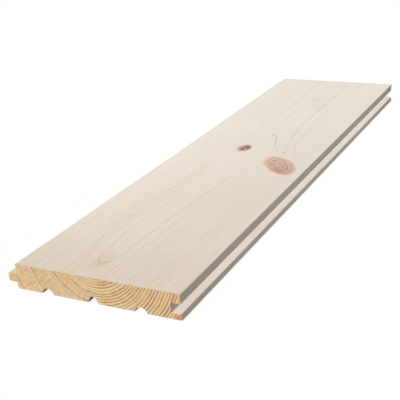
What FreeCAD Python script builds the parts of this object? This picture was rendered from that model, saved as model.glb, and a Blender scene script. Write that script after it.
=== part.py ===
import FreeCAD, Part

import math
import os

import Sketcher

# A planed softwood board, one length of solid timber. The tongue is on the -X edge, the groove on
# the +X edge, the white-tinted face looks up and three relief grooves run along the underside.
# Millimetres, +Y along the board, origin under the middle of the board, on its underside.

doc = FreeCAD.newDocument("TongueAndGrooveBoard")

driving_sizes = [
    ("board_length", 545.0, "end to end"),
    ("face_width", 137.0, "width that one laid board covers"),
    ("board_thickness", 20.0, "underside to face"),
    ("upper_lip", 7.5, "wood between the face and the groove"),
    ("tongue_thickness", 7.2, "tongue, top to bottom"),
    ("tongue_length", 7.5, "tongue tip past the face edge"),
    ("groove_play", 0.4, "groove height over the tongue's thickness"),
    ("groove_spare_depth", 0.4, "groove depth over the tongue's length"),
    ("root_flare", 0.6, "how far the shoulders lean out towards the tongue's root"),
    ("shoulder_play", 0.2, "how much more the lips lean back than the shoulders lean out"),
    ("tongue_tip_chamfer", 0.7, "both corners of the tongue's tip"),
    ("back_corner_chamfer", 0.9, "lower corner on the tongue side"),
    ("relief_middle", 66.0, "tongue-side face edge to the middle relief groove"),
    ("relief_spacing", 39.0, "middle relief groove to each round one"),
    ("round_relief_radius", 5.4, "cutter radius of the round relief grooves"),
    ("round_relief_depth", 3.9, "underside to the top of a round relief groove"),
    ("middle_relief_mouth", 8.6, "width of the middle relief groove at the underside"),
    ("middle_relief_roof", 3.4, "width of its flat roof"),
    ("middle_relief_depth", 4.8, "underside to its roof"),
    ("middle_relief_round", 0.8, "rounding of its two roof corners"),
]

sheet = doc.addObject("Spreadsheet::Sheet", "Sizes")
for row, (alias, number, note) in enumerate(driving_sizes, start=1):
    sheet.set(f"A{row}", alias)
    sheet.set(f"B{row}", str(number))
    sheet.set(f"C{row}", note)
    sheet.setAlias(f"B{row}", alias)
doc.recompute()

# Places in the board's section, as expressions on the sheet
tongue_tip_x = "-(Sizes.face_width + Sizes.tongue_length) / 2"
shoulder_x = f"{tongue_tip_x} + Sizes.tongue_length"
root_x = f"{shoulder_x} - Sizes.root_flare"
groove_edge_x = f"{shoulder_x} + Sizes.face_width"
mouth_x = f"{groove_edge_x} - Sizes.root_flare - Sizes.shoulder_play"
groove_back_x = f"{groove_edge_x} - Sizes.tongue_length - Sizes.groove_spare_depth"
face_z = "Sizes.board_thickness"
groove_top_z = f"{face_z} - Sizes.upper_lip"
groove_bottom_z = f"{groove_top_z} - Sizes.tongue_thickness - Sizes.groove_play"
tongue_top_z = f"{groove_top_z} - Sizes.groove_play / 2"
tongue_bottom_z = f"{tongue_top_z} - Sizes.tongue_thickness"
middle_relief_x = f"{shoulder_x} + Sizes.relief_middle"
first_relief_x = f"{middle_relief_x} - Sizes.relief_spacing"

# Millimetres; points nearer than this are the same place
same_place = 0.001


def value(expression):
    return float(sheet.evalExpression(expression))


def origin_feature(body, role):
    return next(feature for feature in body.Origin.OriginFeatures if feature.Role == role)


def section_sketch(body, name):
    """An empty sketch across the board: its horizontal is X and its vertical is Z."""
    sketch = body.newObject("Sketcher::SketchObject", name)
    sketch.AttachmentSupport = [(origin_feature(body, "XZ_Plane"), "")]
    sketch.MapMode = "FlatFace"
    return sketch


def drive(sketch, kind, elements, expression):
    """Add a dimension whose number comes from the sheet."""
    index = sketch.addConstraint(Sketcher.Constraint(kind, *elements, value(expression)))
    sketch.setExpression(f"Constraints[{index}]", expression)


def closed_profile(sketch, corners):
    """Straight lines through the corners, each corner held by its two places on the sheet."""
    points = [FreeCAD.Vector(value(x), value(z), 0) for x, z in corners]
    count = len(points)
    for index in range(count):
        sketch.addGeometry(Part.LineSegment(points[index], points[(index + 1) % count]))
    for index in range(count):
        sketch.addConstraint(Sketcher.Constraint("Coincident", index, 2, (index + 1) % count, 1))
    origin = (-1, 1)
    for index, (x, z) in enumerate(corners):
        drive(sketch, "DistanceX", (*origin, index, 1), x)
        drive(sketch, "DistanceY", (*origin, index, 1), z)


def cutter_circle(sketch, centre_x, centre_z, radius):
    centre = FreeCAD.Vector(value(centre_x), value(centre_z), 0)
    upwards = FreeCAD.Vector(0, 0, 1)
    circle = sketch.addGeometry(Part.Circle(centre, upwards, value(radius)))
    drive(sketch, "DistanceX", (-1, 1, circle, 3), centre_x)
    drive(sketch, "DistanceY", (-1, 1, circle, 3), centre_z)
    drive(sketch, "Radius", (circle,), radius)


def cut_lengthwise(body, sketch, name):
    """Cut the sketch right through the board, both ways from its middle."""
    before = body.Shape.Volume
    cut = body.newObject("PartDesign::Pocket", name)
    cut.Profile = sketch
    cut.SideType = "Symmetric"
    cut.setExpression("Length", "Sizes.board_length")
    doc.recompute()
    if body.Shape.Volume >= before:
        raise RuntimeError(f"{name} cuts nothing")
    return cut


def lengthwise_edges(feature, corners):
    """Names of the edges that run along the board at the given places in its section."""
    names = []
    for x, z in corners:
        corner_x = value(x)
        corner_z = value(z)
        for index, edge in enumerate(feature.Shape.Edges, start=1):
            first, last = (vertex.Point for vertex in (edge.Vertexes[0], edge.Vertexes[-1]))
            middle = (first + last) / 2
            runs_along = math.hypot(first.x - last.x, first.z - last.z) < same_place
            off_corner = math.hypot(middle.x - corner_x, middle.z - corner_z)
            if runs_along and off_corner < same_place:
                names.append(f"Edge{index}")
    if len(names) != len(corners):
        raise RuntimeError(f"{feature.Name}: found {len(names)} of {len(corners)} edges")
    return names


def ease_edges(body, kind, name, base, corners, size):
    """Chamfer or fillet the lengthwise edges at the given places."""
    eased = body.newObject(f"PartDesign::{kind}", name)
    eased.Base = (base, lengthwise_edges(base, corners))
    eased.setExpression("Size" if kind == "Chamfer" else "Radius", size)
    doc.recompute()
    return eased


def make_plank(body):
    """The whole outside section with its tongue and groove, planed along the board."""
    section = section_sketch(body, "Section")
    closed_profile(
        section,
        [
            (shoulder_x, "0"),
            (groove_edge_x, "0"),
            (mouth_x, groove_bottom_z),
            (groove_back_x, groove_bottom_z),
            (groove_back_x, groove_top_z),
            (mouth_x, groove_top_z),
            (groove_edge_x, face_z),
            (shoulder_x, face_z),
            (root_x, tongue_top_z),
            (tongue_tip_x, tongue_top_z),
            (tongue_tip_x, tongue_bottom_z),
            (root_x, tongue_bottom_z),
        ],
    )
    plank = body.newObject("PartDesign::Pad", "Plank")
    plank.Profile = section
    plank.SideType = "Symmetric"
    plank.setExpression("Length", "Sizes.board_length")
    doc.recompute()
    return plank


def make_round_reliefs(body):
    """The two outer relief grooves, left by one round cutter and its twin."""
    sketch = section_sketch(body, "RoundReliefSection")
    cutter_z = "Sizes.round_relief_depth - Sizes.round_relief_radius"
    cutter_circle(sketch, first_relief_x, cutter_z, "Sizes.round_relief_radius")
    first_relief = cut_lengthwise(body, sketch, "RoundRelief")
    single_volume = body.Shape.Volume
    pair = body.newObject("PartDesign::LinearPattern", "RoundReliefPair")
    pair.Originals = [first_relief]
    pair.Direction = (origin_feature(body, "X_Axis"), [""])
    pair.Mode = "Extent"
    pair.setExpression("Length", "2 * Sizes.relief_spacing")
    pair.Occurrences = 2
    body.Tip = pair
    doc.recompute()
    if body.Shape.Volume >= single_volume:
        raise RuntimeError("the second round relief groove is missing")
    return pair


def make_middle_relief(body):
    """The deeper middle relief groove: leaning walls, a narrow roof and rounded roof corners."""
    left_mouth = f"{middle_relief_x} - Sizes.middle_relief_mouth / 2"
    right_mouth = f"{middle_relief_x} + Sizes.middle_relief_mouth / 2"
    left_roof = f"{middle_relief_x} - Sizes.middle_relief_roof / 2"
    right_roof = f"{middle_relief_x} + Sizes.middle_relief_roof / 2"
    roof_z = "Sizes.middle_relief_depth"
    sketch = section_sketch(body, "MiddleReliefSection")
    closed_profile(
        sketch,
        [(left_mouth, "0"), (right_mouth, "0"), (right_roof, roof_z), (left_roof, roof_z)],
    )
    relief = cut_lengthwise(body, sketch, "MiddleRelief")
    roof_corners = [(left_roof, roof_z), (right_roof, roof_z)]
    return ease_edges(body, "Fillet", "MiddleReliefRounding", relief, roof_corners,
                      "Sizes.middle_relief_round")


board = doc.addObject("PartDesign::Body", "Board")
board.Label = "board"
board.Placement = FreeCAD.Placement()

make_plank(board)
make_round_reliefs(board)
rounded = make_middle_relief(board)
tip_corners = [(tongue_tip_x, tongue_top_z), (tongue_tip_x, tongue_bottom_z)]
tipped = ease_edges(board, "Chamfer", "TongueTipChamfer", rounded, tip_corners,
                    "Sizes.tongue_tip_chamfer")
ease_edges(board, "Chamfer", "BackCornerChamfer", tipped, [(shoulder_x, "0")],
           "Sizes.back_corner_chamfer")
doc.recompute()

for item in doc.Objects:
    if "Invalid" in item.State or "Error" in item.State:
        raise RuntimeError(f"{item.Name} failed: {item.State}")

shape = board.Shape
if shape.isNull() or not shape.isValid() or len(shape.Solids) != 1:
    raise RuntimeError(f"{board.Label} has no single valid solid")
os.makedirs("parts", exist_ok=True)
shape.exportStep(os.path.join("parts", f"{board.Label}.step"))
box = shape.BoundBox
print(f"{board.Label}: {box.XLength:.2f} x {box.YLength:.2f} x {box.ZLength:.2f} mm,"
      f" volume {shape.Volume / 1000:.1f} cm3")
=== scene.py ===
import math
import random

import bmesh
import bpy
from mathutils import Matrix, Vector
from mathutils.geometry import delaunay_2d_cdt


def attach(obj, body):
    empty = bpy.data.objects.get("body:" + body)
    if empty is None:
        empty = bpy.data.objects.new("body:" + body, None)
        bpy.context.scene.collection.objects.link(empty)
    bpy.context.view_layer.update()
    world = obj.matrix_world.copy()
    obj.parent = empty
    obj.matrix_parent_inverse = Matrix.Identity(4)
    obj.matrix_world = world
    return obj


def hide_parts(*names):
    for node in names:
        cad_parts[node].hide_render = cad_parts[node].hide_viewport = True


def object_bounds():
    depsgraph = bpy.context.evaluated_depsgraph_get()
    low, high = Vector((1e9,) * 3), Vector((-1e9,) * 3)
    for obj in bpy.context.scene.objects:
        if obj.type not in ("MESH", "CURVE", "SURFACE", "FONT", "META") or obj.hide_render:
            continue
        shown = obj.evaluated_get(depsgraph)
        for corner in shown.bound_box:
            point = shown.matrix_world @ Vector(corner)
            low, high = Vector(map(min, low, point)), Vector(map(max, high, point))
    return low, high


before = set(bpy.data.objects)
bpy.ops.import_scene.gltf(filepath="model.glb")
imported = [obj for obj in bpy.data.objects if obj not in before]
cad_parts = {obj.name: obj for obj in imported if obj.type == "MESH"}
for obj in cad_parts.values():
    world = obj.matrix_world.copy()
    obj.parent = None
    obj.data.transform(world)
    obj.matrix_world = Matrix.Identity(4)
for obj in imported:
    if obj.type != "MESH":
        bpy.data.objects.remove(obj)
cadLow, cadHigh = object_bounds()
mm = 0.001
print("frame loaded, board box", [round(side / mm, 2) for side in cadHigh - cadLow])


def add(tree, kind, inputs=(), out="", points=(), **settings):
    # one node with its settings and links. A shader node's kind goes without its first words.
    # Inputs come in order or by name, and only sockets in use count. Points are those of a
    # Float Curve or the colours of a Color Ramp.
    made = tree.nodes.new(kind if "Node" in kind else "ShaderNode" + kind)
    for name, value in settings.items():
        setattr(made, name, value)
    for index, (place, value) in enumerate(points):    # both kinds start with two points
        if kind == "FloatCurve":
            stops = made.mapping.curves[0].points
            stop = stops[index] if index < 2 else stops.new(place, value)
            stop.location = (place, value)
        else:
            stops = made.color_ramp.elements
            stop = stops[index] if index < 2 else stops.new(place)
            stop.position = place
            stop.color = linear(value)
    if kind == "FloatCurve":
        made.mapping.update()
    sockets = [socket for socket in made.inputs if socket.enabled]
    if isinstance(inputs, dict):
        named = {socket.name: socket for socket in sockets}
        sockets = [named[name] for name in inputs]
        inputs = inputs.values()
    for socket, value in zip(sockets, inputs):
        if isinstance(value, bpy.types.NodeSocket):
            tree.links.new(value, socket)
        else:
            socket.default_value = value
    results = [socket for socket in made.outputs if socket.enabled and out in ("", socket.name)]
    return results[0] if results else made


def linear(hexColour):
    # sRGB hex to the linear colour that shaders take
    channels = [int(hexColour[i:i + 2], 16) / 255 for i in (1, 3, 5)]
    curved = [c / 12.92 if c <= 0.04045 else ((c + 0.055) / 1.055) ** 2.4 for c in channels]
    return (*curved, 1.0)


# the board's section, millimetres; the overall sizes come from the frame
board = {
    "upperLip": 7.8,           # as the photo measures, 0.3 more than the solid's
    "tongueThickness": 7.2,
    "tongueLength": 7.5,
    "groovePlay": 0.4,
    "shoulderLean": 0.2,       # the photo's shoulders and lips stand straighter than the solid's
    "lipLean": 0.4,
    "tipChamfer": 0.35,
    "backChamfer": 0.5,
    "reliefMiddle": 66.0,
    "reliefSpacing": 39.0,
    "roundReliefRadius": 5.4,
    "roundReliefDepth": 3.9,
    "roundReliefSteps": 12,
    "middleReliefMouth": 8.6,
    "middleReliefRoof": 3.4,
    "middleReliefDepth": 4.8,
    "middleReliefRound": 0.8,
    "faceArris": 0.3,          # planed corners are eased a little
    "smallArris": 0.1,
    "arrisSteps": 3,
    "outlineSpacing": 1.25,    # points round the section
    "stationSpacing": 2.25,    # rings of points along the board
    "endSpacing": 0.95,        # points on the sawn ends
    "endStray": 0.12,          # how far they stray from their rows
    "endClearance": 0.55,      # share of their spacing that they keep from the outline
    "mergeDistance": 0.005,
    "grainRelief": 0.06,       # soft earlywood planes lower than latewood
    "planerPitch": 9.0,        # faint ripple of the planer's knives
    "planerDepth": 0.02,
    "sawnRelief": 0.12,        # earlywood torn deeper on the ends
    "sawMarkPitch": 3.2,
    "sawMarkDepth": 0.05,
    "sawDirection": (0.83, 0.0, 0.56),
    "knotCheckDepth": 0.45,
    "sharpAngle": 32.0,        # degrees
    "seed": 7,
}

tipX = cadLow.x / mm
grooveEdgeX = cadHigh.x / mm
faceEdgeX = tipX + board["tongueLength"]     # the tongue-side edge of the face
nearEndY = cadLow.y / mm
faceZ = cadHigh.z / mm
boardLength = (cadHigh.y - cadLow.y) / mm
grooveTop = faceZ - board["upperLip"]
grooveBottom = grooveTop - board["tongueThickness"] - board["groovePlay"]
grooveBackX = grooveEdgeX - board["tongueLength"] - board["groovePlay"]
grooveBackAcross = grooveBackX - faceEdgeX

# how squarely a face looks along, sideways or down to count as an end, a side or the back
endFacing = 0.6
sideFacing = 0.7
backFacing = -0.2
placeSlack = 0.2    # mm of room when places on the board are told apart
sameCount = 0.5     # whole numbers nearer than this are the same

# the log that the board was cut from: mm across from the face's tongue-side edge, mm along from
# the near end, mm above the face
log = {
    "ringSpacing": 2.24,
    "countedRing": 21.4,       # radius of ring 0, whose latewood makes the long loop on the face
    "latePlace": 0.85,         # where in a ring its latewood lies
    "latewood": [(0, 0.3), (0.07, 0.06), (0.35, 0.0), (0.6, 0.2), (0.78, 0.85), (0.87, 1.0),
                 (0.95, 0.85), (1, 0.4)],
    "pathRange": 100.0,        # mm, more than either path of the pith reaches
    "pithAcross": [(0, 61), (50, 60), (75, 59.6), (100, 60.5), (147, 63.6), (203, 67), (264, 69.5),
                   (316, 70.2), (371, 71), (441, 70.4), (545, 70)],
    "pithHeight": [(0, 22), (24, 21.4), (32, 20.4), (55, 19.9), (133, 19.1), (229, 18.5),
                   (270, 19.1), (316, 21.0), (334, 22.6), (371, 24.8), (441, 24.9), (545, 23)],
    "endPithAcross": 70.0,     # the grain wanders, so the sawn ends have their own middle
    "endPithHeight": 21.0,
    # patterns: patch size across, along and up, detail, the part of the noise that counts and
    # what it gives, here the mm that a ring strays in slow waves and in short ones
    "waves": [{"size": (30, 120, 30), "detail": 3, "from": (0, 1), "to": (-1.1, 1.1)},
              {"size": (9, 22, 9), "detail": 1, "from": (0, 1), "to": (-0.4, 0.4)}],
    "yearSize": 6.0,           # mm of radius over which good years turn to poor ones
    "unevenYears": 0.9,        # mm that those years add or take
    "parting": 0.85,           # how far fibres part to pass a knot
    "arcRadius": 45.0,         # a middling ring, on which lengths along rings are measured
}
# sizes are half a knot's width and half its length, before it leans; it drifts as it goes down
knots = {
    "pinkKnot": {"place": (110.2, 247.4), "size": (13.2, 26.2), "lean": -39.0,
                 "drift": (-0.15, -0.3), "pull": 20.0, "fade": 1.2},
    "darkKnot": {"place": (59.2, 283.8), "size": (6.6, 9.2), "lean": 5.0,
                 "drift": (-0.5, -0.3), "pull": 4.0, "fade": 1.6},
}
# what the knots share; reaches and places are shares of a knot's half sizes
knotWood = {
    "rings": 4.6,              # from its middle to its edge
    "ringWarp": 2.2,
    "warpScale": 1.7,
    "checkLine": (0.04, 0.22),     # where a drying check fades out, from a ring's middle
    "checkPatches": (0.44, 0.56),  # noise between which the checks break off
    "patchScale": 3.6,
    "patchLean": 0.13,             # more of them lie on one side
    "checkReach": (0.6, 0.85),
    "checkShow": 0.8,
    "mottleScale": 2.6,
    "edgeStray": 0.3,
    "haloReach": (0.9, 1.35),
    "haloShow": 0.6,
    "heartStray": 1.6,
    "sideStray": 1.2,
    "sideReach": (0.25, 0.75),
    "sideShow": 0.8,
    "rimReach": (0.8, 1.02),
    "rimShow": 0.75,
    "ringShade": (0.92, 1.07),
}


def easedCorner(before, corner, after, radius):
    # a small arc in place of a corner
    if radius == 0:
        return [corner]
    toBefore = (before - corner).normalized()
    toAfter = (after - corner).normalized()
    half = toBefore.angle(toAfter) / 2
    centre = corner + (toBefore + toAfter).normalized() * radius / math.sin(half)
    start = corner + toBefore * radius / math.tan(half) - centre
    end = corner + toAfter * radius / math.tan(half) - centre
    steps = board["arrisSteps"]
    return [centre + start.lerp(end, i / steps).normalized() * radius for i in range(steps + 1)]


def roundRelief(middle):
    # a round relief groove's corners, each with the radius that eases it
    radius = board["roundReliefRadius"]
    height = board["roundReliefDepth"] - radius
    opening = math.asin(-height / radius)
    sweep = math.pi - 2 * opening
    steps = board["roundReliefSteps"]
    angles = [math.pi - opening - sweep * i / steps for i in range(steps + 1)]
    return [(middle + radius * math.cos(angle), height + radius * math.sin(angle), 0)
            for angle in angles]


def middleRelief(middle):
    halfMouth = board["middleReliefMouth"] / 2
    halfRoof = board["middleReliefRoof"] / 2
    depth = board["middleReliefDepth"]
    rounding = board["middleReliefRound"]
    small = board["smallArris"]
    return [(middle - halfMouth, 0, small), (middle - halfRoof, depth, rounding),
            (middle + halfRoof, depth, rounding), (middle + halfMouth, 0, small)]


def sectionOutline():
    # the planed section as a closed ring of points, (x, z) in mm, starting at the back's left
    tongueTop = grooveTop - board["groovePlay"] / 2
    tongueBottom = tongueTop - board["tongueThickness"]
    rootX = faceEdgeX - board["shoulderLean"]
    mouthX = grooveEdgeX - board["lipLean"]
    chamfer = board["tipChamfer"]
    small = board["smallArris"]
    middle = faceEdgeX + board["reliefMiddle"]
    corners = [
        (faceEdgeX + board["backChamfer"], 0, small),
        *roundRelief(middle - board["reliefSpacing"]),
        *middleRelief(middle),
        *roundRelief(middle + board["reliefSpacing"]),
        (grooveEdgeX, 0, small),
        (mouthX, grooveBottom, small),
        (grooveBackX, grooveBottom, small),
        (grooveBackX, grooveTop, small),
        (mouthX, grooveTop, small),
        (grooveEdgeX, faceZ, board["faceArris"]),
        (faceEdgeX, faceZ, board["faceArris"]),
        (rootX, tongueTop, small),
        (tipX + chamfer, tongueTop, small),
        (tipX, tongueTop - chamfer, small),
        (tipX, tongueBottom + chamfer, small),
        (tipX + chamfer, tongueBottom, small),
        (rootX, tongueBottom, small),
        (faceEdgeX, board["backChamfer"], small),
    ]
    points = [Vector((x, z)) for x, z, _ in corners]
    ring = []
    for i, (_, _, radius) in enumerate(corners):
        ring += easedCorner(points[i - 1], points[i], points[(i + 1) % len(points)], radius)
    outline = []
    for i, point in enumerate(ring):
        after = ring[(i + 1) % len(ring)]
        pieces = max(1, round((after - point).length / board["outlineSpacing"]))
        outline += [point.lerp(after, k / pieces) for k in range(pieces)]
    return outline


def insideRing(point, ring):
    crossings = 0
    for i, start in enumerate(ring):
        end = ring[i - 1]
        if (start.y > point.y) != (end.y > point.y):
            crossX = start.x + (point.y - start.y) * (end.x - start.x) / (end.y - start.y)
            crossings += point.x < crossX
    return crossings % 2 == 1


def sectionMesh():
    # the section as a flat triangulated sheet in the XZ plane, with points inside for the end grain
    random.seed(board["seed"])
    outline = sectionOutline()
    spacing = board["endSpacing"]
    clearance = spacing * board["endClearance"]
    stray = board["endStray"]
    inner = []
    row = 0
    rowHeight = spacing * math.sqrt(0.75)    # rows of even triangles
    z = clearance
    while z < faceZ:
        x = tipX + spacing * (row % 2) / 2
        while x < grooveEdgeX:
            spot = Vector((x + random.uniform(-stray, stray), z + random.uniform(-stray, stray)))
            if insideRing(spot, outline) and min((spot - p).length for p in outline) > clearance:
                inner.append(spot)
            x += spacing
        z += rowHeight
        row += 1
    border = list(range(len(outline)))
    samePoint = 1e-6
    spots, _, triangles, *_ = delaunay_2d_cdt(outline + inner, [], [border], 1, samePoint)
    mesh = bpy.data.meshes.new("boardSection")
    mesh.from_pydata([(p.x * mm, 0, p.y * mm) for p in spots], [], triangles)
    print("section:", len(outline), "outline points,", len(triangles), "triangles")
    return mesh


def overLength(points, highest=1.0):
    # places in mm along the board, made shares of its length for a Float Curve
    return [(along / boardLength, value / highest) for along, value in points]


def patches(tree, place, pattern):
    # the noise of a pattern, and what the pattern makes of it
    scaled = add(tree, "VectorMath", (place, [1 / side for side in pattern["size"]]),
                 operation="MULTIPLY")
    noise = add(tree, "TexNoise", {"Vector": scaled, "Scale": 1, "Detail": pattern["detail"]})
    return noise, add(tree, "MapRange", (noise, *pattern["from"], *pattern["to"]))


def ovalPlace(tree, first, second, oval):
    # where a place lies in a leaning oval, in shares of its half sizes, and how far out
    offX = add(tree, "Math", (first, oval["place"][0]), operation="SUBTRACT")
    offY = add(tree, "Math", (second, oval["place"][1]), operation="SUBTRACT")
    off = add(tree, "CombineXYZ", (offX, offY))
    lean = math.radians(oval.get("lean", 0))
    turned = add(tree, "VectorRotate", {"Vector": off, "Angle": lean}, rotation_type="Z_AXIS")
    wide, long = oval["size"]
    shares = add(tree, "VectorMath", (turned, (1 / wide, 1 / long, 0)), operation="MULTIPLY")
    return shares, add(tree, "VectorMath", (shares,), operation="LENGTH")


def passKnots(tree, rings, across, along, above):
    # the branches: rings climb along them, so the lines on the face bend round each knot,
    # and the fibres part to pass it
    found = {}
    fibreAcross = across
    for name, knot in knots.items():
        placeX, placeY = (add(tree, "Math", (above, drift, place), operation="MULTIPLY_ADD")
                          for drift, place in zip(knot["drift"], (across, along)))
        inKnot, reach = ovalPlace(tree, placeX, placeY, knot)
        outside = add(tree, "Math", (reach, 1), operation="MAXIMUM")
        decay = add(tree, "Math", (outside, -knot["fade"], knot["fade"]),
                    operation="MULTIPLY_ADD")
        nearness = add(tree, "Math", (decay,), operation="EXPONENT")
        rings = add(tree, "Math", (nearness, -knot["pull"], rings), operation="MULTIPLY_ADD")
        aside = add(tree, "Math", (placeX, knot["place"][0]), operation="SUBTRACT")
        parting = add(tree, "Math", (aside, nearness), operation="MULTIPLY")
        fibreAcross = add(tree, "Math", (parting, -log["parting"], fibreAcross),
                          operation="MULTIPLY_ADD")
        found[name] = {"place": inKnot, "reach": reach}
    fibre = add(tree, "CombineXYZ", (fibreAcross, along, above))
    return rings, fibre, found


def growLog(tree, position, onEnd):
    # rings, knots and fibre of the log at a place, the same for shaders and for the mesh
    inMm = add(tree, "VectorMath", (position, (1 / mm,) * 3), operation="MULTIPLY")
    local = add(tree, "VectorMath", (inMm, (-faceEdgeX, -nearEndY, -faceZ)), operation="ADD")
    across, along, above = add(tree, "SeparateXYZ", (local,)).node.outputs
    share = add(tree, "Math", (along, boardLength), operation="DIVIDE")
    pith = []
    highest = log["pathRange"]
    for path, endPlace in (("pithAcross", "endPithAcross"), ("pithHeight", "endPithHeight")):
        curve = add(tree, "FloatCurve", {"Value": share}, points=overLength(log[path], highest))
        here = add(tree, "Mix", (onEnd, curve, log[endPlace] / highest))
        pith.append(add(tree, "Math", (here, highest), operation="MULTIPLY"))
    sideways = add(tree, "Math", (across, pith[0]), operation="SUBTRACT")
    below = add(tree, "Math", (pith[1], above), operation="SUBTRACT")
    fromPith = add(tree, "CombineXYZ", (sideways, below))
    radius = add(tree, "VectorMath", (fromPith,), operation="LENGTH")
    angle = add(tree, "Math", (sideways, below), operation="ARCTAN2")

    # waves, and years of more or less growth
    rings = radius
    for wave in log["waves"]:
        rings = add(tree, "Math", (rings, patches(tree, local, wave)[1]), operation="ADD")
    year = add(tree, "TexNoise", {"W": radius, "Scale": 1 / log["yearSize"], "Detail": 1},
               noise_dimensions="1D")
    growth = add(tree, "MapRange", (year, 0, 1, -log["unevenYears"], log["unevenYears"]))
    rings = add(tree, "Math", (rings, growth), operation="ADD")

    rings, fibre, found = passKnots(tree, rings, across, along, above)

    # count the rings; latewood darkens slowly and ends sharply
    counted = add(tree, "Math", (rings, log["countedRing"]), operation="SUBTRACT")
    scaled = add(tree, "Math", (counted, 1 / log["ringSpacing"], log["latePlace"]),
                 operation="MULTIPLY_ADD")
    number = add(tree, "Math", (scaled,), operation="FLOOR")
    phase = add(tree, "Math", (scaled,), operation="FRACT")
    late = add(tree, "FloatCurve", {"Value": phase}, points=log["latewood"])
    ringLuck = add(tree, "TexWhiteNoise", (number,), noise_dimensions="1D")
    return {"across": across, "along": along, "above": above, "share": share, "local": local,
            "sideways": sideways, "radius": radius, "angle": angle, "number": number,
            "late": late, "ringLuck": ringLuck, "fibre": fibre, "knots": found}


def knotRings(tree, knot):
    # a knot's own narrow rings, uneven and nested; 0 in the middle of a ring, 0.5 between two
    warp = add(tree, "TexNoise", {"Vector": knot["place"], "Scale": knotWood["warpScale"]})
    turns = add(tree, "Math", (knot["reach"], knotWood["rings"]), operation="MULTIPLY")
    swirl = add(tree, "Math", (warp, knotWood["ringWarp"], turns), operation="MULTIPLY_ADD")
    phase = add(tree, "Math", (swirl,), operation="FRACT")
    middle = add(tree, "Math", (phase, 0.5), operation="SUBTRACT")
    return add(tree, "Math", (middle,), operation="ABSOLUTE")


def knotChecks(tree, knot):
    # drying checks: thin broken lines along the knot's rings
    thin = add(tree, "MapRange", (knotRings(tree, knot), *knotWood["checkLine"], 1, 0))
    patch = add(tree, "TexNoise", {"Vector": knot["place"], "Scale": knotWood["patchScale"],
                                   "Detail": 1})
    aside = add(tree, "SeparateXYZ", (knot["place"],))
    oneSided = add(tree, "Math", (aside, knotWood["patchLean"], patch), operation="MULTIPLY_ADD")
    broken = add(tree, "MapRange", (oneSided, *knotWood["checkPatches"]))
    inside = add(tree, "MapRange", (knot["reach"], *knotWood["checkReach"], 1, 0))
    here = add(tree, "Math", (thin, broken), operation="MULTIPLY")
    return add(tree, "Math", (here, inside), operation="MULTIPLY")


def evenWave(tree, place, pitch):
    # a wave along a place that repeats every pitch and runs from 0 to 2
    turns = add(tree, "Math", (place, pitch), operation="DIVIDE")
    angle = add(tree, "Math", (turns, math.tau), operation="MULTIPLY")
    wave = add(tree, "Math", (angle,), operation="SINE")
    return add(tree, "Math", (wave, 1), operation="ADD")


def sweepSection(tree, given, flat):
    # the section swept along the board, with its sheet again as the two ends
    nearY = add(tree, "Math", (given["Length"], -0.5), operation="MULTIPLY")
    farY = add(tree, "Math", (given["Length"], 0.5), operation="MULTIPLY")
    nearPoint = add(tree, "CombineXYZ", {"Y": nearY})
    farPoint = add(tree, "CombineXYZ", {"Y": farY})
    line = add(tree, "GeometryNodeCurvePrimitiveLine", (nearPoint, farPoint))
    rail = add(tree, "GeometryNodeResampleCurve",
               {"Curve": line, "Length": given["Station Spacing"]}, mode="LENGTH")
    beside = add(tree, "GeometryNodeInputMeshEdgeNeighbors")
    isBorder = add(tree, "Math", (beside, 1, sameCount), operation="COMPARE")
    border = add(tree, "GeometryNodeMeshToCurve", (given["Section"], isBorder))
    downwards = add(tree, "Math", (flat["Z"], -1), operation="MULTIPLY")
    laid = add(tree, "CombineXYZ", (flat["X"], downwards))
    profile = add(tree, "GeometryNodeSetPosition", {"Geometry": border, "Position": laid})
    tube = add(tree, "GeometryNodeCurveToMesh", (rail, profile))
    swept = add(tree, "GeometryNodeFlipFaces", (tube,))
    nearEnd = add(tree, "GeometryNodeTransform", (given["Section"], nearPoint))
    moved = add(tree, "GeometryNodeTransform", (given["Section"], farPoint))
    farEnd = add(tree, "GeometryNodeFlipFaces", (moved,))
    joined = add(tree, "GeometryNodeJoinGeometry")
    for part in (swept, nearEnd, farEnd):
        tree.links.new(part, joined.node.inputs[0])
    return add(tree, "GeometryNodeMergeByDistance",
               {"Geometry": joined, "Distance": board["mergeDistance"] * mm})


def reliefDepth(tree, given, position, flat, onEnd):
    # how deep the surface lies: planed grain, planer's ripple and knot checks on the long faces,
    # torn earlywood and saw marks on the ends
    grown = growLog(tree, position, onEnd)
    early = add(tree, "Math", (1, grown["late"]), operation="SUBTRACT")
    planed = add(tree, "Math", (early, given["Grain Relief"]), operation="MULTIPLY")
    ripple = evenWave(tree, flat["Y"], given["Planer Pitch"])
    planed = add(tree, "Math", (ripple, given["Planer Depth"], planed), operation="MULTIPLY_ADD")
    for knot in grown["knots"].values():
        planed = add(tree, "Math", (knotChecks(tree, knot), given["Knot Check Depth"], planed),
                     operation="MULTIPLY_ADD")
    torn = add(tree, "Math", (early, given["Sawn Relief"]), operation="MULTIPLY")
    sawPlace = add(tree, "VectorMath", (position, board["sawDirection"]), operation="DOT_PRODUCT")
    sawMarks = evenWave(tree, sawPlace, given["Saw Mark Pitch"])
    sawn = add(tree, "Math", (sawMarks, given["Saw Mark Depth"], torn), operation="MULTIPLY_ADD")
    return add(tree, "Mix", (onEnd, planed, sawn))


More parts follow.
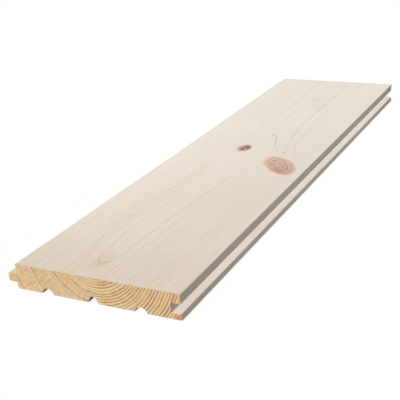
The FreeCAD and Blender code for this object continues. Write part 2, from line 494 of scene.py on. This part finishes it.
def buildBoardTree(materials):
    # sweeps the section along the board, closes the ends and planes the grain's relief into it
    tree = bpy.data.node_groups.new("mouldedBoard", "GeometryNodeTree")
    sizes = {
        "Length": boardLength * mm,
        "Station Spacing": board["stationSpacing"] * mm,
        "Grain Relief": board["grainRelief"] * mm,
        "Planer Pitch": board["planerPitch"] * mm,
        "Planer Depth": board["planerDepth"] * mm,
        "Sawn Relief": board["sawnRelief"] * mm,
        "Saw Mark Pitch": board["sawMarkPitch"] * mm,
        "Saw Mark Depth": board["sawMarkDepth"] * mm,
        "Knot Check Depth": board["knotCheckDepth"] * mm,
    }
    tree.interface.new_socket("Section", in_out="INPUT", socket_type="NodeSocketGeometry")
    for name in sizes:
        tree.interface.new_socket(name, in_out="INPUT", socket_type="NodeSocketFloat")
    tree.interface.new_socket("Board", in_out="OUTPUT", socket_type="NodeSocketGeometry")
    given = tree.nodes.new("NodeGroupInput").outputs
    position = add(tree, "GeometryNodeInputPosition")
    flat = add(tree, "SeparateXYZ", (position,)).node.outputs
    closed = sweepSection(tree, given, flat)

    # relief goes inwards only, so the board never grows
    normal = add(tree, "GeometryNodeInputNormal")
    facing = add(tree, "SeparateXYZ", (normal,)).node.outputs
    endwise = add(tree, "Math", (facing["Y"],), operation="ABSOLUTE")
    onEnd = add(tree, "Math", (endwise, endFacing), operation="GREATER_THAN")
    depth = reliefDepth(tree, given, position, flat, onEnd)
    inwards = add(tree, "Math", (depth, -1), operation="MULTIPLY")
    offset = add(tree, "VectorMath", (normal, inwards), operation="SCALE")
    finished = add(tree, "GeometryNodeSetPosition", {"Geometry": closed, "Offset": offset})

    # tinted all round, then raw on the back and on the sawn ends
    low = add(tree, "Math", (flat["Z"], grooveBottom * mm), operation="LESS_THAN")
    down = add(tree, "Math", (facing["Z"], backFacing), operation="LESS_THAN")
    onBack = add(tree, "Math", (low, down), operation="MULTIPLY")
    for finish, where in (("tinted", True), ("back", onBack), ("sawn", onEnd)):
        finished = add(tree, "GeometryNodeSetMaterial", (finished, where, materials[finish]))
    real = add(tree, "GeometryNodeRealizeInstances", (finished,))
    result = tree.nodes.new("NodeGroupOutput")
    tree.links.new(real, result.inputs["Board"])
    return tree, sizes


# the raw back
pine = {
    "early": "#E2C496",
    "late": "#B98850",
    "lateShow": 0.6,
    "knotShow": 0.9,
    # drawn 0.9 mm wide, because real fibres are too fine to show
    "fibres": {"size": (0.9, 30, 0.9), "detail": 4, "from": (0.3, 0.7), "to": (0.92, 1.06)},
    "fibreBump": 0.05,         # mm
    "roughness": 0.7,
    "paintedReliefShade": 0.45,       # painted shade: the relief grooves in the back are darker
    "reliefBlend": 0.6,        # mm over which it sets in
}
# the white tint on the face, the tongue, the groove and the edges
tint = {
    "colour": "#E8E0D4",
    "thin": "#D3C4B3",         # near one end the tint lies thinner and the wood warms it
    "groove": "#F5F7FD",       # painted light: multiplies it on the groove's floor, cooler than the face to offset the groove's warm bounce
    "paintedLightGrooveThinning": 0.4,     # share of the thinning that is left there, so painted light keeps the groove's floor lighter
    "nearRing": "#C0A583",     # latewood under the thin tint, and under the full tint
    "farRing": "#C6B8A6",
    "pinkish": "#E2CDC2",
    "roughness": 0.55,
    "thinning": [(0, 1.0), (30, 0.92), (80, 0.68), (150, 0.55), (220, 0.36), (300, 0.22),
                 (380, 0.05), (545, 0.0)],
    # how much the latewood of a few rings shows through, left and right of the log's middle
    "shownRings": {
        0: ([(0, 0), (20, 0.6), (45, 0.45), (110, 0.4), (150, 0.12), (200, 0.0), (545, 0)],
            [(0, 0), (20, 0.6), (60, 0.5), (120, 0.6), (200, 0.5), (238, 0.1), (262, 0.2),
             (276, 0.75), (325, 0.75), (338, 0.4), (350, 0), (545, 0)]),
        4: ([(0, 0.6), (60, 0.85), (200, 0.8), (262, 0.35), (290, 0.15), (320, 0.6), (545, 0.5)],
            [(0, 0.06), (250, 0.08), (272, 0.7), (340, 0.8), (400, 0.8), (500, 0.5),
             (545, 0.25)]),
        8: ([(0, 0.1), (300, 0.15), (545, 0.1)],
            [(0, 0.05), (250, 0.08), (272, 0.7), (350, 0.5), (420, 0.15), (545, 0.1)]),
    },
    "faintRings": ([(0, 0.6), (200, 0.4), (240, 0.15), (300, 0.25), (440, 0.3), (500, 0.15),
                    (545, 0.1)],
                   [(0, 0.5), (160, 0.4), (230, 0.15), (300, 0.1), (545, 0.05)]),
    "faintLuck": (0.35, 0.75),     # which of the faint rings show
    "lineSharpness": 1.6,
    "ringPatches": {"size": (14, 90, 14), "detail": 2, "from": (0.3, 0.52), "to": (0, 1)},
    "ringWear": {"size": (9, 11, 9), "detail": 2, "from": (0.35, 0.6), "to": (0.45, 1.1)},
    "hueDrift": {"size": (22, 140, 22), "detail": 2, "from": (0.45, 0.75), "to": (0, 0.3)},
    # fibres: fine ones drawn 1 mm wide, the finest that the render shows, and broad ones
    "fineFibres": {"size": (1, 40, 1), "detail": 4, "from": (0.3, 0.7), "to": (0.985, 1.015)},
    "broadFibres": {"size": (4, 160, 4), "detail": 2, "from": (0.3, 0.7), "to": (0.99, 1.01)},
    "fibreBump": 0.03,         # mm
    "streaks": {"size": (0.9, 26, 0.9), "detail": 1, "from": (0.35, 0.65), "to": (0.03, -0.03)},
    # streaks show most in these places, mm across and along
    "streakZones": [
        {"place": (16, 90), "size": (34, 190), "strength": 1.0},
        {"place": (112, 60), "size": (40, 130), "strength": 0.9},
        {"place": (22, 390), "size": (14, 130), "strength": 0.9},
    ],
    "stains": [
        {"place": (58.8, 24.5), "size": (7.8, 17.0), "lean": 5, "colour": "#CDB592",
         "strength": 0.6},
        {"place": (69.5, 461.0), "size": (4.5, 18.0), "colour": "#D8CCBE", "strength": 0.35},
        {"place": (101.0, 280.5), "size": (1.9, 2.8), "colour": "#C79C8B", "strength": 0.8},
        {"place": (95.0, 270.0), "size": (7.0, 8.0), "lean": 30, "colour": "#EFD8CB",
         "strength": 0.4},
    ],
    # painted shade: the sideways faces darken towards the far end, as if their light fell off
    "paintedEdgeShade": [(0, 1.0), (150, 1.0), (300, 0.95), (450, 0.91), (545, 0.79)],
    # painted shade: the tongue darker, as if the shoulder kept light off it
    "paintedTongueShade": 0.93,
    # painted shade: the lower lip's side darker, to undo the light that its lean catches
    "paintedLowerLipShade": 0.88,
    # painted shadow: the back of the groove darker, as under the upper lip's shadow
    "paintedGrooveBackShadow": 0.62,
    "nearGrooveBack": 1.5,     # mm either side of the groove's back
}
# the sawn ends; pairs are for the tongue's side, where the rings are quieter, and for the groove's
sawnEnd = {
    "early": ("#E2C598", "#EBCE9F"),
    "late": ("#A06E42", "#A46D2B"),
    "leastDark": (0.28, 0.55),
    "narrowing": (1.2, 0.42),
    "rayShade": (0.11, 0.04),
    "quietTo": 62.0,
    "strongFrom": 74.0,
    "ringLuck": 0.45,
    "boldRings": {"left": (5, 9, 16, 17, 24), "right": (14, 15, 20, 21)},
    "yearShift": 7.3,          # each year's ring has its own stretch of the pattern
    "ringStray": {"size": (5, 1, 1), "detail": 2, "from": (0.3, 0.7), "to": (0.65, 1.2)},
    # rays cross the rings every 1.3 mm, which is coarser than real so that they show
    "rays": {"size": (1.3, 9, 1), "detail": 2, "from": (0.3, 0.7), "to": (-1, 1)},
    "grit": {"size": (0.7, 0.7, 0.7), "detail": 3, "from": (0.3, 0.7), "to": (0.93, 1.07)},
    "gritBump": 0.08,          # mm
    "pinkish": "#DDB394",
    "blush": {"size": (7, 7, 7), "detail": 2, "from": (0.45, 0.65), "to": (0, 0.4)},
    "stains": [
        {"place": (76.0, -1.9), "size": (7.2, 1.4), "lean": -15, "colour": "#D08F5C",
         "strength": 0.65},
        {"place": (131.6, -3.4), "size": (3.4, 4.6), "lean": 8, "colour": "#D29A55",
         "strength": 0.35},
        {"place": (134.0, -18.3), "size": (4.2, 2.3), "lean": 12, "colour": "#C8804A",
         "strength": 0.75},
        {"place": (104.0, -8.0), "size": (9.0, 9.0), "lean": 20, "colour": "#D6A672",
         "strength": 0.25},
    ],
}
spotFade = (0.35, 1.15)        # a soft spot fades out between these shares of its size
# spots are placed in shares of the knot's half width and half length
knotColours = {
    "pinkKnot": {
        "heart": [(0.0, "#C8A18D"), (0.25, "#C39B85"), (0.5, "#CFAF99"), (0.8, "#D1B4A1"),
                  (1.0, "#D6BBA8")],
        "side": "#D0B5AA",
        "rim": "#DDC2B0",
        "check": "#8A6B5B",
        "halo": "#EAD8CB",
        "soft": 0.13,
        "spots": [
            {"place": (-0.42, -0.46), "size": (0.3, 0.44), "colour": "#BA8872", "strength": 0.65},
            {"place": (0.43, -0.58), "size": (0.34, 0.15), "colour": "#C4A87F", "strength": 0.75},
            {"place": (-0.62, 0.08), "size": (0.3, 0.28), "colour": "#D3A193", "strength": 0.8},
            {"place": (0.1, -0.36), "size": (0.3, 0.2), "colour": "#C9A096", "strength": 0.7},
            {"place": (-0.06, 0.53), "size": (0.15, 0.11), "colour": "#A17F6C", "strength": 0.6},
            {"place": (-0.46, 0.27), "size": (0.2, 0.12), "colour": "#A9836F", "strength": 0.7},
        ],
    },
    "darkKnot": {
        "heart": [(0.0, "#A98E80"), (0.3, "#8D655D"), (0.6, "#8A625A"), (1.0, "#A98276")],
        "side": "#9A6F66",
        "rim": "#B7A08E",
        "check": "#6E4A42",
        "halo": "#EDD6C9",
        "soft": 0.24,
        "spots": [
            {"place": (-0.75, -0.6), "size": (0.55, 0.6), "colour": "#C0B299", "strength": 0.9},
            {"place": (-0.6, 0.3), "size": (0.5, 0.5), "colour": "#C6A295", "strength": 0.85},
            # painted highlight: a small pink spot, lighter than the face, at the knot's lower right
            {"place": (0.31, -0.2), "size": (0.26, 0.17), "colour": "#F5D9CE", "strength": 1.0},
        ],
    },
}


def newMaterial(name, onEnd):
    # onEnd is 1 for the sawn ends and 0 for what was planed
    material = bpy.data.materials.new(name)
    material.use_nodes = True
    tree = material.node_tree
    tree.nodes.clear()
    coordinates = add(tree, "TexCoord", out="Object")
    return material, tree, growLog(tree, coordinates, onEnd)


def finishMaterial(tree, colour, roughness, bumpHeight, bumpDepth):
    bump = add(tree, "Bump", {"Height": bumpHeight, "Distance": bumpDepth * mm, "Strength": 1})
    shader = add(tree, "BsdfPrincipled",
                 {"Base Color": colour, "Roughness": roughness, "Normal": bump})
    add(tree, "OutputMaterial", {"Surface": shader})


def softSpot(tree, first, second, spot):
    # 1 inside a leaning oval on two coordinates, 0 outside, with a soft edge
    _, reach = ovalPlace(tree, first, second, spot)
    return add(tree, "MapRange", (reach, *spotFade, 1, 0), interpolation_type="SMOOTHSTEP")


def layStains(tree, colour, first, second, stains):
    # soft spots of other colours over a colour
    for stain in stains:
        there = softSpot(tree, first, second, stain)
        share = add(tree, "Math", (there, stain["strength"]), operation="MULTIPLY")
        colour = add(tree, "Mix", (share, colour, linear(stain["colour"])), data_type="RGBA")
    return colour


def knotColour(tree, grown, colour, strength):
    # lays the knots over a wood colour; strength is how much of them the finish lets through
    for name, knot in grown["knots"].items():
        own = knotColours[name]
        mottle = add(tree, "TexNoise", {"Vector": knot["place"], "Scale": knotWood["mottleScale"],
                                        "Detail": 3})
        shift = add(tree, "Math", (mottle, 0.5), operation="SUBTRACT")
        edge = add(tree, "Math", (shift, knotWood["edgeStray"], knot["reach"]),
                   operation="MULTIPLY_ADD")
        halo = add(tree, "MapRange",
                   (edge, *knotWood["haloReach"], knotWood["haloShow"] * strength, 0),
                   interpolation_type="SMOOTHSTEP")
        colour = add(tree, "Mix", (halo, colour, linear(own["halo"])), data_type="RGBA")
        aside, endwise, _ = add(tree, "SeparateXYZ", (knot["place"],)).node.outputs
        wander = add(tree, "Math", (shift, knotWood["heartStray"], endwise),
                     operation="MULTIPLY_ADD")
        place = add(tree, "MapRange", (wander, -1, 1))
        wood = add(tree, "ValToRGB", (place,), points=own["heart"])
        strayed = add(tree, "Math", (shift, knotWood["sideStray"], aside),
                      operation="MULTIPLY_ADD")
        onSide = add(tree, "MapRange", (strayed, *knotWood["sideReach"], 0, knotWood["sideShow"]))
        wood = add(tree, "Mix", (onSide, wood, linear(own["side"])), data_type="RGBA")
        rim = add(tree, "MapRange", (edge, *knotWood["rimReach"], 0, knotWood["rimShow"]),
                  interpolation_type="SMOOTHSTEP")
        wood = add(tree, "Mix", (rim, wood, linear(own["rim"])), data_type="RGBA")
        wood = layStains(tree, wood, aside, endwise, own["spots"])
        ringShade = add(tree, "MapRange", (knotRings(tree, knot), 0, 0.5, *knotWood["ringShade"]))
        wood = add(tree, "VectorMath", (wood, ringShade), operation="SCALE")
        checks = add(tree, "Math", (knotChecks(tree, knot), knotWood["checkShow"]),
                     operation="MULTIPLY")
        wood = add(tree, "Mix", (checks, wood, linear(own["check"])), data_type="RGBA")
        body = add(tree, "MapRange", (edge, 1 - own["soft"], 1 + own["soft"], strength, 0),
                   interpolation_type="SMOOTHSTEP")
        colour = add(tree, "Mix", (body, colour, wood), data_type="RGBA")
    return colour


def bySide(tree, grown, rightward, curves):
    # what two curves along the board say, one for each side of the log's middle
    left, right = (add(tree, "FloatCurve", {"Value": grown["share"]}, points=overLength(curve))
                   for curve in curves)
    return add(tree, "Mix", (rightward, left, right))


def tintCoat(tree, grown, thinning, inGroove):
    # the tint itself, thinner near one end, with its stains and slow drifts of hue, and painted
    # light on the groove's floor
    kept = add(tree, "Mix", (inGroove, 1, tint["paintedLightGrooveThinning"]))
    thinHere = add(tree, "Math", (thinning, kept), operation="MULTIPLY")
    colour = add(tree, "Mix", (thinHere, linear(tint["colour"]), linear(tint["thin"])),
                 data_type="RGBA")
    colour = add(tree, "Mix", (inGroove, colour, linear(tint["groove"])), data_type="RGBA",
                 blend_type="MULTIPLY")
    colour = layStains(tree, colour, grown["across"], grown["along"], tint["stains"])
    _, drift = patches(tree, grown["fibre"], tint["hueDrift"])
    return add(tree, "Mix", (drift, colour, linear(tint["pinkish"])), data_type="RGBA")


def ringsThroughTint(tree, grown):
    # how much latewood the tint lets through: a few rings that show, and faint ones in patches
    rightward = add(tree, "Math", (grown["sideways"], 0), operation="GREATER_THAN")
    _, inPatch = patches(tree, grown["fibre"], tint["ringPatches"])
    lucky = add(tree, "MapRange", (grown["ringLuck"], *tint["faintLuck"]))
    faint = add(tree, "Math", (inPatch, lucky), operation="MULTIPLY")
    shown = add(tree, "Math", (faint, bySide(tree, grown, rightward, tint["faintRings"])),
                operation="MULTIPLY")
    for ring, curves in tint["shownRings"].items():
        isRing = add(tree, "Math", (grown["number"], ring, sameCount), operation="COMPARE")
        one = add(tree, "Math", (isRing, bySide(tree, grown, rightward, curves)),
                  operation="MULTIPLY")
        shown = add(tree, "Math", (shown, one), operation="MAXIMUM")
    _, wear = patches(tree, grown["fibre"], tint["ringWear"])
    shown = add(tree, "Math", (shown, wear), operation="MULTIPLY")
    thinLine = add(tree, "Math", (grown["late"], tint["lineSharpness"]), operation="POWER")
    return add(tree, "Math", (thinLine, shown), operation="MULTIPLY")


def fibreShades(tree, grown):
    # the fine fibres' noise, and the shade that fine and broad fibres and streaks give
    fine, fineShade = patches(tree, grown["fibre"], tint["fineFibres"])
    _, broadShade = patches(tree, grown["fibre"], tint["broadFibres"])
    shade = add(tree, "Math", (fineShade, broadShade), operation="MULTIPLY")
    _, streaks = patches(tree, grown["fibre"], tint["streaks"])
    for zone in tint["streakZones"]:
        there = softSpot(tree, grown["across"], grown["along"], zone)
        share = add(tree, "Math", (there, zone["strength"]), operation="MULTIPLY")
        shade = add(tree, "Math", (streaks, share, shade), operation="MULTIPLY_ADD")
    return fine, shade


def edgeShades(tree, grown, shade, sideOn):
    # painted shade: the edges darken towards the far end, standing in for light that falls off, and
    # painted shade also darkens the tongue, the lower lip's side and the back of the groove
    alongEdge = add(tree, "FloatCurve", {"Value": grown["share"]},
                    points=overLength(tint["paintedEdgeShade"]))
    onTongue = add(tree, "Math", (grown["across"], -board["shoulderLean"] - placeSlack),
                   operation="LESS_THAN")
    underGroove = add(tree, "Math", (grown["above"], grooveBottom - faceZ), operation="LESS_THAN")
    onLowerLip = add(tree, "Math", (underGroove, sideOn), operation="MULTIPLY")
    inside = add(tree, "Math", (grown["across"], grooveBackAcross + tint["nearGrooveBack"]),
                 operation="LESS_THAN")
    onGrooveBack = add(tree, "Math", (inside, sideOn), operation="MULTIPLY")
    for here, darker in ((sideOn, alongEdge), (onTongue, tint["paintedTongueShade"]),
                         (onLowerLip, tint["paintedLowerLipShade"]),
                         (onGrooveBack, tint["paintedGrooveBackShadow"])):
        shadeHere = add(tree, "Mix", (here, 1, darker))
        shade = add(tree, "Math", (shade, shadeHere), operation="MULTIPLY")
    return shade


def whiteTintedPine():
    # planed pine under a thin matt white tint: pale cream, few rings show, the knots show through
    material, tree, grown = newMaterial("whiteTintedPine", 0)
    facing = add(tree, "TexCoord", out="Normal")
    facingX = add(tree, "SeparateXYZ", (facing,))
    sideOn = add(tree, "Math", (facingX, sideFacing), operation="GREATER_THAN")
    levelOn = add(tree, "Math", (facingX, sideFacing), operation="LESS_THAN")
    # the groove's floor, where painted light keeps the tint lighter and cooler
    pastBack = add(tree, "Math", (grown["across"], grooveBackAcross - tint["nearGrooveBack"]),
                   operation="GREATER_THAN")
    underLip = add(tree, "Math", (grown["above"], grooveTop - faceZ + placeSlack),
                   operation="LESS_THAN")
    low = add(tree, "Math", (pastBack, underLip), operation="MULTIPLY")
    inGroove = add(tree, "Math", (low, levelOn), operation="MULTIPLY")
    thinning = add(tree, "FloatCurve", {"Value": grown["share"]},
                   points=overLength(tint["thinning"]))
    colour = tintCoat(tree, grown, thinning, inGroove)
    ringColour = add(tree, "Mix", (thinning, linear(tint["farRing"]), linear(tint["nearRing"])),
                     data_type="RGBA")
    colour = add(tree, "Mix", (ringsThroughTint(tree, grown), colour, ringColour),
                 data_type="RGBA")
    fine, shade = fibreShades(tree, grown)
    shade = edgeShades(tree, grown, shade, sideOn)
    colour = add(tree, "VectorMath", (colour, shade), operation="SCALE")
    colour = knotColour(tree, grown, colour, 1)
    finishMaterial(tree, colour, tint["roughness"], fine, tint["fibreBump"])
    return material


def sawnPineEnd():
    # cross-cut pine left raw: honey-coloured, its rings dark and crossed by a faint weave of rays
    material, tree, grown = newMaterial("sawnPineEnd", 1)
    strong = add(tree, "MapRange", (grown["across"], sawnEnd["quietTo"], sawnEnd["strongFrom"]),
                 interpolation_type="SMOOTHSTEP")
    early, late = (add(tree, "Mix", (strong, *map(linear, sawnEnd[wood])), data_type="RGBA")
                   for wood in ("early", "late"))
    least, narrowing, rayShade = (add(tree, "Mix", (strong, *sawnEnd[name]))
                                  for name in ("leastDark", "narrowing", "rayShade"))
    _, blush = patches(tree, grown["local"], sawnEnd["blush"])
    early = add(tree, "Mix", (blush, early, linear(sawnEnd["pinkish"])), data_type="RGBA")

    # each year its own darkness, which also strays along the ring
    darkness = add(tree, "Math", (grown["ringLuck"], sawnEnd["ringLuck"], least),
                   operation="MULTIPLY_ADD")
    for side, rings in sawnEnd["boldRings"].items():
        onSide = add(tree, "Math", (grown["sideways"], 0),
                     operation="GREATER_THAN" if side == "right" else "LESS_THAN")
        for ring in rings:
            isRing = add(tree, "Math", (grown["number"], ring, sameCount), operation="COMPARE")
            bold = add(tree, "Math", (isRing, onSide), operation="MULTIPLY")
            darkness = add(tree, "Math", (darkness, bold), operation="MAXIMUM")
    arc = add(tree, "Math", (grown["angle"], log["arcRadius"]), operation="MULTIPLY")
    layer = add(tree, "Math", (grown["number"], sawnEnd["yearShift"]), operation="MULTIPLY")
    _, stray = patches(tree, add(tree, "CombineXYZ", (arc, layer)), sawnEnd["ringStray"])
    darkness = add(tree, "Math", (darkness, stray), operation="MULTIPLY")
    band = add(tree, "Math", (grown["late"], narrowing), operation="POWER")
    ringShow = add(tree, "Math", (band, darkness), operation="MULTIPLY", use_clamp=True)
    colour = add(tree, "Mix", (ringShow, early, late), data_type="RGBA")

    _, rays = patches(tree, add(tree, "CombineXYZ", (arc, grown["radius"])), sawnEnd["rays"])
    rayShow = add(tree, "Math", (rays, rayShade, 1), operation="MULTIPLY_ADD")
    grit, gritShade = patches(tree, grown["local"], sawnEnd["grit"])
    shade = add(tree, "Math", (gritShade, rayShow), operation="MULTIPLY")
    colour = add(tree, "VectorMath", (colour, shade), operation="SCALE")
    colour = layStains(tree, colour, grown["across"], grown["above"], sawnEnd["stains"])
    finishMaterial(tree, colour, pine["roughness"], grit, sawnEnd["gritBump"])
    return material


def rawPlanedPine():
    # planed and left raw: the back, yellower than the face, with its rings in full
    material, tree, grown = newMaterial("rawPlanedPine", 0)
    ringShow = add(tree, "Math", (grown["late"], pine["lateShow"]), operation="MULTIPLY")
    colour = add(tree, "Mix", (ringShow, linear(pine["early"]), linear(pine["late"])),
                 data_type="RGBA")
    fine, fineShade = patches(tree, grown["fibre"], pine["fibres"])
    # painted shade inside the relief grooves of the back
    start = placeSlack - faceZ
    inRelief = add(tree, "MapRange",
                   (grown["above"], start, start + pine["reliefBlend"], 1, pine["paintedReliefShade"]))
    shade = add(tree, "Math", (fineShade, inRelief), operation="MULTIPLY")
    colour = add(tree, "VectorMath", (colour, shade), operation="SCALE")
    colour = knotColour(tree, grown, colour, pine["knotShow"])
    finishMaterial(tree, colour, pine["roughness"], fine, pine["fibreBump"])
    return material


def makeBoard():
    materials = {"tinted": whiteTintedPine(), "sawn": sawnPineEnd(), "back": rawPlanedPine()}
    print("materials built")
    tree, sizes = buildBoardTree(materials)
    source = bpy.data.objects.new("boardSource", sectionMesh())
    bpy.context.scene.collection.objects.link(source)
    modifier = source.modifiers.new("moulding", "NODES")
    modifier.node_group = tree
    sockets = {item.name: item.identifier for item in tree.interface.items_tree
               if item.in_out == "INPUT"}
    for name, size in sizes.items():
        modifier[sockets[name]] = size
    bpy.context.view_layer.update()
    evaluated = source.evaluated_get(bpy.context.evaluated_depsgraph_get())
    mesh = bpy.data.meshes.new_from_object(evaluated)
    source.modifiers.remove(modifier)
    bpy.data.objects.remove(source)
    while mesh.materials[0] is None:
        mesh.materials.pop(index=0)

    shaping = bmesh.new()
    shaping.from_mesh(mesh)
    bmesh.ops.recalc_face_normals(shaping, faces=shaping.faces)
    openEdges = sum(not edge.is_manifold for edge in shaping.edges)
    shaping.to_mesh(mesh)
    volume = shaping.calc_volume(signed=True) / (10 * mm) ** 3
    shaping.free()
    mesh.polygons.foreach_set("use_smooth", [True] * len(mesh.polygons))
    mesh.set_sharp_from_angle(angle=math.radians(board["sharpAngle"]))
    piece = bpy.data.objects.new("pineBoard", mesh)
    bpy.context.scene.collection.objects.link(piece)
    mesh.calc_loop_triangles()
    print("board:", len(mesh.loop_triangles), "triangles,", openEdges, "open edges,",
          round(volume, 1), "cm3")
    return piece


pineBoard = makeBoard()
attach(pineBoard, "root")
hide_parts("board")

studio = {
    "floorHalf": 6.0,            # metres
    "floorPale": 0.25,
    "floorGlow": 0.74,           # lit from behind, so almost no shadow shows
    "contactReach": 1.4,         # mm of soft painted contact shadow where the board meets the floor
    "contactSamples": 16,
    "floorBounce": 0.1,          # what the floor sends back to the board
    "ambient": 0.15,
    # sun: where it stands, strength (1 makes white paper white), spread in degrees, shadows
    "suns": {
        "topLight": ((0.0, 0.0, 1.0), 0.72, 10, False),
        "keyLight": ((-0.36, -0.45, 0.82), 0.14, 50, True),
        "endLight": ((0.0, -1.0, 0.0), 0.76, 20, False),
        "sideLight": ((1.0, 0.0, 0.05), 0.45, 30, True),
        "backLight": ((-0.6, 0.8, 0.0), 0.5, 20, False),
    },
}


def makeFloor():
    half = studio["floorHalf"]
    mesh = bpy.data.meshes.new("studioFloor")
    mesh.from_pydata([(-half, -half, 0), (half, -half, 0), (half, half, 0), (-half, half, 0)], [],
                     [(0, 1, 2, 3)])
    floor = bpy.data.objects.new("studioFloor", mesh)
    bpy.context.scene.collection.objects.link(floor)
    material = bpy.data.materials.new("palePaper")
    material.use_nodes = True
    tree = material.node_tree
    tree.nodes.clear()
    seen = add(tree, "LightPath", out="Is Camera Ray")
    pale = add(tree, "BsdfDiffuse", {"Color": (*[studio["floorPale"]] * 3, 1)})
    # painted contact shadow: the glow dims where the board hides the floor
    clear = add(tree, "AmbientOcclusion", {"Distance": studio["contactReach"] * mm},
                out="AO", samples=studio["contactSamples"])
    strength = add(tree, "Math", (clear, studio["floorGlow"]), operation="MULTIPLY")
    glow = add(tree, "Emission", {"Strength": strength})
    lit = add(tree, "AddShader", (pale, glow))
    dim = add(tree, "BsdfDiffuse", {"Color": (*[studio["floorBounce"]] * 3, 1)})
    paper = add(tree, "MixShader", (seen, dim, lit))
    add(tree, "OutputMaterial", {"Surface": paper})
    mesh.materials.append(material)


def makeStudio():
    makeFloor()
    world = bpy.data.worlds.new("studioWorld")
    world.use_nodes = True
    tree = world.node_tree
    tree.nodes.clear()
    seen = add(tree, "LightPath", out="Is Camera Ray")
    level = add(tree, "MapRange", (seen, 0, 1, studio["ambient"], 1))
    glow = add(tree, "Background", {"Color": (1, 1, 1, 1), "Strength": level})
    add(tree, "OutputWorld", {"Surface": glow})
    bpy.context.scene.world = world
    for name, (direction, strength, spread, shadow) in studio["suns"].items():
        light = bpy.data.lights.new(name, "SUN")
        light.energy = strength * math.pi
        light.angle = math.radians(spread)
        light.use_shadow = shadow
        lamp = bpy.data.objects.new(name, light)
        lamp.rotation_euler = Vector(direction).to_track_quat("Z", "Y").to_euler()
        bpy.context.scene.collection.objects.link(lamp)


# the camera that the board's four face corners give
view = {
    "place": (314.78, -689.56, 284.07),    # mm
    "azimuth": 28.074,                     # degrees, turned from +Y towards -X
    "elevation": 22.316,
    "roll": -4.174,
    "lens": 74.557,
    "sensor": 36.0,
    "nearest": 0.01,                       # metres
    "farthest": 50.0,
}


def makeCamera():
    data = bpy.data.cameras.new("boardCamera")
    data.lens = view["lens"]
    data.sensor_width = view["sensor"]
    data.clip_start = view["nearest"]
    data.clip_end = view["farthest"]
    camera = bpy.data.objects.new("boardCamera", data)
    turn = (Matrix.Rotation(math.radians(view["azimuth"]), 4, "Z")
            @ Matrix.Rotation(math.radians(90 - view["elevation"]), 4, "X")
            @ Matrix.Rotation(math.radians(view["roll"]), 4, "Z"))
    camera.matrix_world = Matrix.Translation(Vector(view["place"]) * mm) @ turn
    bpy.context.scene.collection.objects.link(camera)
    bpy.context.scene.camera = camera


makeStudio()
makeCamera()
bpy.context.scene.view_settings.view_transform = "Standard"
print("studio and camera placed")
